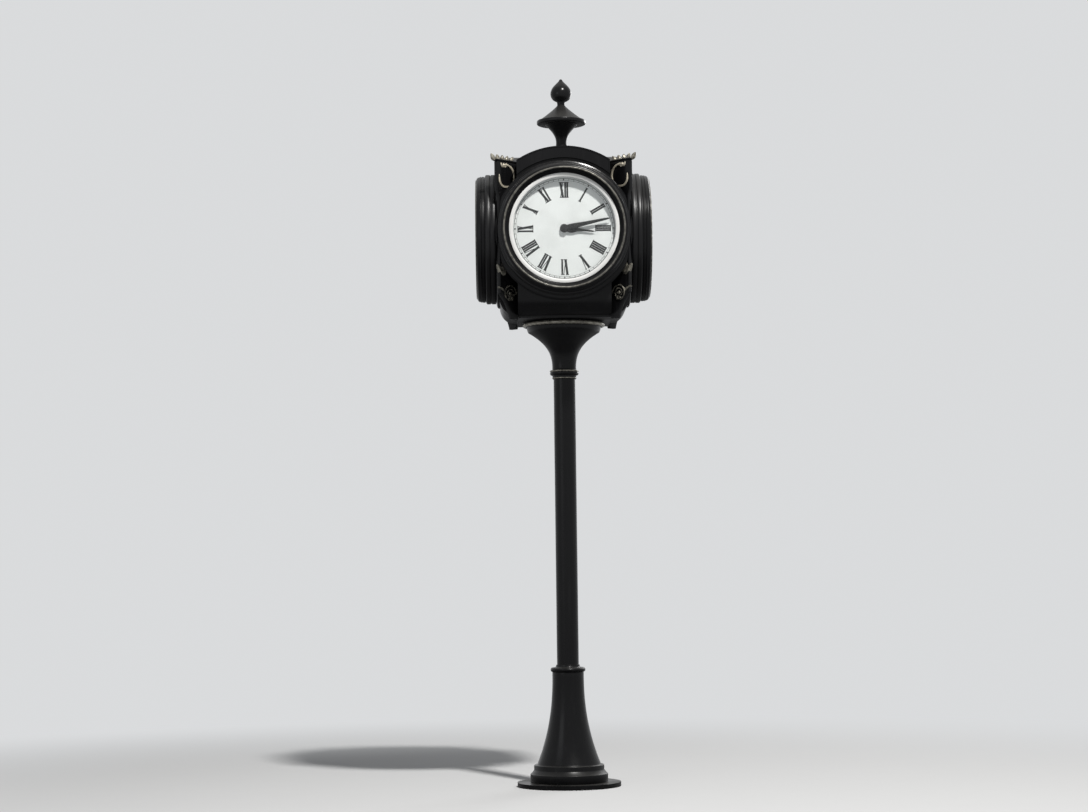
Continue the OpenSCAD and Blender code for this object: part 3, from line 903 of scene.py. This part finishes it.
@dataclass
class Numerals:
    """Roman hours and the minute ring of a dial, in millimetres from the dial's centre."""

    finishes: Finishes
    hours: tuple[str, ...] = ("I", "II", "III", "IIII", "V", "VI", "VII", "VIII", "IX", "X", "XI", "XII")
    hour_step: float = -30
    face: float = 530.0
    foot_r: float = 212
    height: float = 108
    upright: float = 12.0
    broad: float = 16
    thin: float = 4.6
    serif: float = 3.6
    serif_h: float = 3.2
    step: float = 14.4
    sign_w: float = 34
    relief: float = 0.5
    rings: tuple[Point, ...] = ((331, 0.6), (344, 1.5))
    ring_steps: int = 144
    marks: tuple[tuple[float, int, float], ...] = ((1.3, 60, 0.4), (3.4, 12, 0.6))

    def build(self) -> None:
        """Builds the front dial's numerals and puts copies of them on every wall."""
        strokes = [
            self.stroke(hour * self.hour_step, *place)
            for hour, signs in enumerate(self.hours, 1) for place in self.strokes(signs)
        ]
        piece = join(strokes + self.track())
        put_round(Wall, Master(piece, "numerals", Slot.HANDS, self.finishes.ink))

    def strokes(self, signs: str) -> list[Triple]:
        """Lays out the strokes of a numeral.

        Args:
            signs: Its signs, each I, V or X.

        Returns:
            For each stroke its middle, its lean across the numeral's height and its thickness.
        """
        widths = {"I": self.step, "V": self.sign_w, "X": self.sign_w}
        left = -sum(widths[sign] for sign in signs) / 2
        made: list[Triple] = []
        for sign in signs:
            middle = left + widths[sign] / 2
            left += widths[sign]
            if sign == "I":
                made.append((middle, 0, self.upright))
            elif sign == "V":
                made += [(middle - 5, -13, self.broad), (middle + 7, 15, self.thin)]
            else:
                made += [(middle, -17, self.broad), (middle, 17, self.thin)]
        return made

    def stroke(self, turned: float, middle: float, lean: float, width: float) -> Piece:
        """Models one stroke with its serifs, in its own relief so that no two faces coincide.

        Args:
            turned: Turn of the numeral from twelve o'clock, in degrees.
            middle: Where the stroke stands across the numeral.
            lean: How far it leans across the numeral's height.
            width: Its thickness.

        Returns:
            The stroke.
        """
        half, wide = width / 2, width / 2 + self.serif
        top, low = self.height - self.serif_h, self.serif_h
        right = [(wide, 0), (wide, low), (half, low + 3), (half, top - 3), (wide, top), (wide, self.height)]
        outline = [(-wide, 0), *right, *((-u, v) for u, v in right[:0:-1])]
        leant = [(middle + u + lean * (v / self.height - 0.5), self.foot_r + v) for u, v in outline]
        relief = self.relief + width * 0.01 + middle * 0.002
        return slab_on_dial(leant, self.face, relief, turned)

    def track(self) -> list[Piece]:
        """Models the two rings and the minute marks between them.

        Returns:
            The rings and the two sets of marks.
        """
        (low, _), (high, _) = self.rings
        made = [
            spin_on_dial(box(r - half, self.face, r + half, self.face + self.relief), self.ring_steps)
            for r, half in self.rings
        ]
        for half, count, relief in self.marks:
            slab_on_dial(box(-half, low, half, high), self.face, relief)
            bpy.ops.object.mode_set(mode="EDIT")
            bpy.ops.mesh.select_all(action="SELECT")
            bpy.ops.mesh.spin(steps=count, dupli=True, angle=math.tau, center=DIAL_CENTRE, axis=DIAL_AXIS)
            made.append(close_mesh())
        return made


@dataclass
class Hands:
    """Tapered hands at thirteen minutes past three, in millimetres from the dial's centre."""

    finishes: Finishes
    hour_turn: float = -96.5
    minute_turn: float = -78
    hour_back: float = 538
    minute_back: float = 547.5
    hour_bore: float = 9.1
    minute_bore: float = 6.1
    blade_t: float = 3
    point: float = 3.2
    edge_round: float = 0.0008
    hub_steps: int = 64

    def build(self) -> None:
        """Builds the front dial's hands and puts copies of them on every wall."""
        hour = self.hand(self.hour_shape(), self.hour_turn, self.hour_back + 2, self.hour_hub())
        minute = self.hand(self.minute_shape(), self.minute_turn, self.minute_back + 4, self.minute_hub())
        put_round(Wall, *(
            Master(piece, f"{name}_blade", Slot.HANDS, self.finishes.hand, name, rides=True)
            for piece, name in ((hour, "hour_hand"), (minute, "minute_hand"))
        ))

    def hour_shape(self) -> list[Point]:
        """Right half of the hour hand: a pear by the hub and a slim point."""
        spots = [(17, 15), (25, 32), (26.5, 47), (22, 68), (13.5, 88), (9, 108), (7.2, 140), (5.6, 195)]
        return curve(spots, 5)

    def minute_shape(self) -> list[Point]:
        """Right half of the minute hand: one long taper."""
        return curve([(15, 14), (19, 40), (18, 80), (15, 125), (12, 180), (9.5, 250), (6.5, 303)], 4)

    def hour_hub(self) -> list[Point]:
        """Profile of the hour hand's hub."""
        low, bore = self.hour_back, self.hour_bore
        return [
            (bore, low), (27, low), *arc(27.5, low + 4.5, 2.5, -90, 90, 6), (18, low + 7), (bore, low + 7),
        ]

    def minute_hub(self) -> list[Point]:
        """Profile of the minute hand's hub."""
        low, bore = self.minute_back, self.minute_bore
        return [
            (bore, low), (23, low), (25, low + 2), (25, low + 5.5), *arc(22.5, low + 5.5, 2.5, 0, 90, 5),
            (bore, low + 8),
        ]

    def hand(self, half: list[Point], turned: float, back: float, hub: list[Point]) -> Piece:
        """Models a hand: its blade with rounded edges, and its hub.

        Args:
            half: Right half of the blade's outline, from the hub to near the tip.
            turned: Turn of the hand from twelve o'clock, in degrees.
            back: How far out the back of the blade is.
            hub: Profile of the hub.

        Returns:
            The hand.
        """
        tip = half[-1][1] + self.point * half[-1][0]
        outline = [*half, (0, tip), *((-x, y) for x, y in half[::-1])]
        blade = slab_on_dial(outline, back, self.blade_t, turned)
        soften(blade, self.edge_round)
        return join([blade, spin_on_dial(hub, self.hub_steps)])


@dataclass
class Consoles:
    """Carved corner consoles, in millimetres: x away from the post, y up from the dials' level."""

    finishes: Finishes
    width: float = 28
    edge_round: float = 0.003
    head_out: float = 659
    head_x: float = 571
    head_y: float = 385
    head_round: float = 85
    head_top: float = 484
    cap_t: float = 12
    cap_out: float = 11
    cap_in: float = 455.4
    edge: float = 639
    ease_h: float = 70
    inner: float = 443.4
    drum: Point = (627.2, 443.5)
    seat_depth: float = 22
    seat_half: float = 297
    scroll: Point = (541, -430)
    scroll_r: float = 60
    scroll_step: float = 12
    scroll_line: float = 9
    eye_r: float = 12.5
    line_round: float = 0.0028
    eye_round: float = 0.005
    foot: Point = (529.6, -603)
    foot_w: float = 62
    sweep_r: float = 320
    plate: float = 590
    bead: float = 15
    bend: float = 50
    leaf_section: tuple[Point, ...] = (
        (-1, 0), (-0.62, 1), (0, 0.72), (0.62, 1), (1, 0), (0.62, -1), (0, -0.72), (-0.62, -1))
    leaf_stations: tuple[Triple, ...] = (
        (0.0, 0.3, 0.7), (0.1, 0.6, 0.9), (0.26, 0.95, 1), (0.42, 1, 1),
        (0.6, 0.84, 0.95), (0.78, 0.5, 0.85), (0.93, 0.2, 0.62), (1.0, 0.03, 0.3))

    def build(self) -> None:
        """Builds one console and puts copies of it in the four corners."""
        fins = [self.through(self.outline(), self.width / 2),
                self.through(self.cap(), (self.width + self.cap_out) / 2)]
        for fin in fins:
            soften(fin, self.edge_round, 3)
        put_round(Corner, *(
            Master(join(pieces), f"console_{name}", Slot.IRON, material, node)
            for name, pieces, material, node in (
                ("casting", fins, self.finishes.iron, "console"),
                ("lines", self.head_lines() + self.crown(), self.finishes.gilt, ""),
                ("crest", self.crest(), self.finishes.crest, ""),
                ("leaves", self.leaves() + self.scroll_lines(), self.finishes.carving, ""),
            )
        ))

    def at(self, x: float, y: float, side: float) -> Vector:
        """Point of a console that stands on the right, side mm off its middle."""
        return Vector((x * MM, -side * MM, LEVEL + y * MM))

    def through(self, outline: list[Point], half: float) -> Piece:
        """Models a flat form that runs through the fin, half its thickness to each side."""
        return slab([self.at(x, y, half) for x, y in outline], Vector((0, 2 * half * MM, 0)))

    def raised(self, outline: list[Point], sign: int, rise: float) -> Piece:
        """Models a flat form that stands off one side of the fin."""
        points = [self.at(x, y, sign * (self.width / 2 - 1)) for x, y in outline]
        return slab(points, Vector((0, -sign * rise * MM, 0)))

    def outline(self) -> list[Point]:
        """Draws the side view, down the outer edge to the foot and back up inside.

        Returns:
            The outline.
        """
        low, narrowing = self.head_y - self.head_round, self.head_out - self.edge
        ease = [
            (self.head_out - narrowing * (1 - math.cos(math.pi * i / 12)) / 2, low - self.ease_h * i / 12)
            for i in range(13)
        ]
        start, end = Vector((self.edge, self.scroll[1])), Vector(self.foot)
        step = end - start
        off = math.sqrt(self.sweep_r ** 2 - step.length_squared / 4)
        centre = (start + end) / 2 + Vector((-step.y, step.x)).normalized() * off
        first, last = (
            math.degrees(math.atan2(spot.y - centre.y, spot.x - centre.x)) for spot in (start, end)
        )
        heights = [self.seat_half * (i / 8 - 1) for i in range(17)]
        seat = [
            (self.drum[0] * math.sqrt(1 - (y / self.drum[1]) ** 2) - self.seat_depth, y) for y in heights
        ]
        foot_in = self.foot[0] - self.foot_w
        return [
            (self.inner, self.head_top), (self.head_out, self.head_top), *ease,
            *arc(centre.x, centre.y, self.sweep_r, first, last, 16),
            (foot_in, self.foot[1]), (foot_in, -self.plate), (foot_in - 12, -self.plate),
            (foot_in - 12, -self.plate + 18), (self.inner, -self.plate + 36), *seat,
        ]

    def cap(self) -> list[Point]:
        """Outline of the flat cap over the head."""
        out, low, top = self.head_out + self.cap_out, self.head_top, self.head_top + self.cap_t
        return [
            (self.cap_in, low), (out - 4, low), *arc(out - 5, low + 6, 5, -60, 60, 5), (out - 5, top),
            (self.cap_in, top),
        ]

    def leaf(self, root: Point, tip: Point, half: float, rise: float) -> Piece:
        """Models a leaf that shows on both sides of the fin, with a vein down its middle.

        Args:
            root: Where the leaf starts.
            tip: Its point.
            half: Half its width.
            rise: How far it stands off the fin's middle.

        Returns:
            The leaf.
        """
        start, end = Vector(root), Vector(tip)
        along = end - start
        across = Vector((-along.y, along.x)).normalized()
        rings = [
            [self.at(*(start + along * t + across * half * wide * u), rise * high * v)
             for u, v in self.leaf_section]
            for t, wide, high in self.leaf_stations
        ]
        middles = [sum(ring, Vector()) / len(ring) for ring in rings]
        trace(rings[0])
        bpy.ops.mesh.edge_face_add()
        for i in range(1, len(rings)):
            (_, wide0, high0), (_, wide1, high1) = self.leaf_stations[i - 1:i + 1]
            pull(middles[i] - middles[i - 1])
            self.squeeze(middles[i], Vector((across.x, 0, across.y)), wide1 / wide0, high1 / high0)
        leaf = close_mesh()
        modify(leaf, "SUBSURF", levels=2, render_levels=2)
        return leaf

    def squeeze(self, centre: Vector, side: Vector, wide: float, high: float) -> None:
        """Scales the selected ring of a leaf.

        Args:
            centre: Middle of the ring.
            side: Direction across the leaf.
            wide: Scale across the leaf.
            high: Scale across the fin.
        """
        off_fin = Vector((0, 1, 0))
        axes = Matrix((side, off_fin, side.cross(off_fin))).transposed()
        bpy.ops.transform.resize(value=(wide, high, 1), orient_matrix=axes, orient_type="LOCAL",
                                 orient_matrix_type="LOCAL", center_override=centre)

    def crest(self) -> list[Piece]:
        """Models the leaves that stand on the cap."""
        x, y, rise = self.head_out - 64, self.head_top, self.width / 2 + 1
        return [
            self.leaf((x + tip * 0.72, y), (x + tip, y + self.cap_t + 34), 19, rise)
            for tip in (-105, -51, 0, 51, 106)
        ]

    def leaves(self) -> list[Piece]:
        """Models the leaves beside the drums and those about the scroll.

        Returns:
            The leaves.
        """
        full = self.width / 2 + 7
        x, y = self.edge - 40, self.scroll[1] + 118
        made = [
            self.leaf((x, y), (x + 56, y + 78), 23, full),
            self.leaf((x - 2, y), (x + 26, y + 108), 23, full),
            self.leaf((x - 6, y), (x - 8, y + 92), 20, full),
            self.leaf((x - 12, y - 110), (x + 50, y - 74), 13, full),
        ]
        for turned, reach in ((200, 52), (245, 58), (290, 62)):
            root, tip = polar(self.scroll, 14, turned), polar(self.scroll, reach, turned)
            made.append(self.leaf(root, tip, 12, full))
        return made

    def crown(self) -> list[Piece]:
        """Models the light leaves that lie between the head's line and its cap."""
        x, y, rise = self.head_x + 22, self.head_y + self.head_round - 30, self.width / 2 + 7
        return [self.leaf((x + tip * 0.3, y), (x + tip, self.head_top - 2), 13, rise) for tip in (-32, 0, 32)]

    def head_lines(self) -> list[Piece]:
        """Models the light line about the head, open on its upper outer side.

        Returns:
            The line on each side of the fin.
        """
        half, bend, x, y = self.bead / 2, self.bend, self.head_x, self.head_y
        out, low, r = self.head_out - 14 - half, y - self.head_round + half, self.head_round - half
        path = [
            (out + 2, low + bend + 34, 5), (out + 1, low + bend + 16, 10),
            *with_width(arc(out - bend, low + bend, bend, 0, -90, 12), self.bead),
            *with_width(arc(x, y, r, 270, 120, 26), self.bead),
            *with_width(arc(x, y, r, 112, 80, 5), self.bead - 2),
            (x + 28, y + r - 6, 6),
        ]
        return [self.line(path, sign, 7) for sign in (-1, 1)]

    def line(self, path: list[Triple], sign: int, rise: float) -> Piece:
        """Models a rounded line along a path on one side of the fin.

        Args:
            path: Points with the line's width at each.
            sign: Which side of the fin.
            rise: How far it stands off the fin.

        Returns:
            The line.
        """
        outer, inner = [], []
        for i, (x, y, width) in enumerate(path):
            before, after = path[max(i - 1, 0)], path[min(i + 1, len(path) - 1)]
            way = Vector((after[0] - before[0], after[1] - before[1]))
            side = Vector((way.y, -way.x)).normalized() * width / 2
            outer.append((x + side.x, y + side.y))
            inner.append((x - side.x, y - side.y))
        made = self.raised(outer + inner[::-1], sign, rise)
        soften(made, self.line_round, 3, 60)
        return made

    def scroll_lines(self) -> list[Piece]:
        """Models the scroll at the lower end on both sides, as half turns that get smaller.

        Returns:
            The scroll and its eye on each side of the fin.
        """
        (x, y), step, made = self.scroll, self.scroll_step, []
        path: list[Triple] = []
        for i in range(4):
            odd = i % 2
            r = self.scroll_r - i * step - self.scroll_line / 2
            half_turn = arc(x + odd * step, y, r, 180 * odd, 180 * odd + 180, 12)
            path += with_width(half_turn, self.scroll_line * (1 - 0.12 * i))
        for sign in (-1, 1):
            eye = self.raised(arc(x + step / 2, y, self.eye_r, 0, 345, 23), sign, 8)
            soften(eye, self.eye_round, 4, 60)
            made += [self.line(path, sign, 6), eye]
        return made


@dataclass
class CadNodes:
    """Finishes of the CAD nodes that keep their own shape."""

    finishes: Finishes

    def build(self) -> None:
        """Coats every node by the last word of its name."""
        by_ending = {
            "glass": self.finishes.glass, "dial": self.finishes.dial, "arbor": self.finishes.hand,
            "hand": self.finishes.hand, "bezel": self.finishes.bezel,
        }
        for name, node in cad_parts.items():
            materials = node.data.materials
            materials.clear()
            materials.append(by_ending.get(name.rsplit("_", 1)[-1], self.finishes.iron))


@dataclass(frozen=True)
class Lamp:
    """Square area lamp that faces a point, in metres and watts."""

    name: str
    spot: Triple
    aim: Triple
    size: float
    power: float
    colour: Triple

    def hang(self) -> None:
        """Adds the lamp to the scene."""
        data = bpy.data.lights.new(self.name, "AREA")
        data.size, data.energy, data.color = self.size, self.power, self.colour
        lamp = bpy.data.objects.new(self.name, data)
        lamp.location = self.spot
        lamp.rotation_euler = (Vector(self.aim) - Vector(self.spot)).to_track_quat("-Z", "Y").to_euler()
        bpy.context.collection.objects.link(lamp)


@dataclass
class Studio:
    """Camera, floor, background and lamps, in metres and degrees."""

    camera_at: Triple = (-0.1455, -16.83, 1.5)
    pitch: float = 3.91
    roll: float = -0.68
    orbit: float = -0.8
    lens: float = 79.41
    sensor: float = 36
    far: float = 400
    floor_r: float = 90
    floor_z: float = -0.0005
    ambient: Colour = (0.115, 0.118, 0.122, 1)
    lamps: tuple[Lamp, ...] = (
        Lamp("key", (3.3, -7.3, 14.0), (0, 0, 3.2), 0.9, 2350, (1, 0.985, 0.96)),
        Lamp("fill", (-8, -9, 5), (0, 0, 2.5), 5, 80, (0.95, 0.97, 1)),
        Lamp("back", (5, 9, 6), (0, 0, 3), 4, 300, (1, 1, 1)),
    )

    def build(self) -> None:
        """Builds all of it."""
        self.camera()
        self.floor()
        self.world()
        for lamp in self.lamps:
            lamp.hang()
        bpy.context.scene.view_settings.view_transform = "Standard"

    def camera(self) -> None:
        """Sets the camera where the photograph was taken from."""
        data = bpy.data.cameras.new("camera")
        data.sensor_width = self.sensor
        data.sensor_fit = "HORIZONTAL"
        data.lens = self.lens
        data.clip_end = self.far
        camera = bpy.data.objects.new("camera", data)
        bpy.context.collection.objects.link(camera)
        tilt = Matrix.Rotation(math.radians(90 + self.pitch), 4, "X")
        lean = Matrix.Rotation(math.radians(self.roll), 4, "Z")
        around = Matrix.Rotation(math.radians(self.orbit), 4, "Z")
        camera.matrix_world = around @ Matrix.Translation(self.camera_at) @ tilt @ lean
        bpy.context.scene.camera = camera

    def floor(self) -> None:
        """Models the floor."""
        deselect()
        bpy.ops.mesh.primitive_circle_add(
            vertices=96, radius=self.floor_r, fill_type="NGON", location=(0, 0, self.floor_z))
        floor = bpy.context.object
        bpy.ops.object.transform_apply(location=True)
        floor.name = "floor"
        floor.data.materials.append(PaleFloor("pale_floor").make())

    def world(self) -> None:
        """Shows a pale background to the camera, gloss and glass, and lights softly otherwise."""
        world = bpy.data.worlds.new("studio")
        bpy.context.scene.world = world
        world.use_nodes = True
        graph = Graph(world.node_tree)
        seen = graph.ray("Camera") | graph.ray("Glossy") | graph.ray("Transmission")
        colour = graph.mix(seen, self.ambient, BACKDROP)
        light = graph.add("ShaderNodeBackground", {}, {"Color": colour, "Strength": 1.0})
        graph.output(light, "ShaderNodeOutputWorld")


def main() -> None:
    """Builds the clock's looks in order."""
    logging.basicConfig(level=logging.INFO, format="%(message)s")
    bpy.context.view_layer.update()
    finishes = Finishes()
    for assembly in (CadNodes, TurnedCastings, Bezels, Numerals, Hands, Consoles):
        assembly(finishes).build()
    Studio().build()


if __name__ == "__main__":
    main()
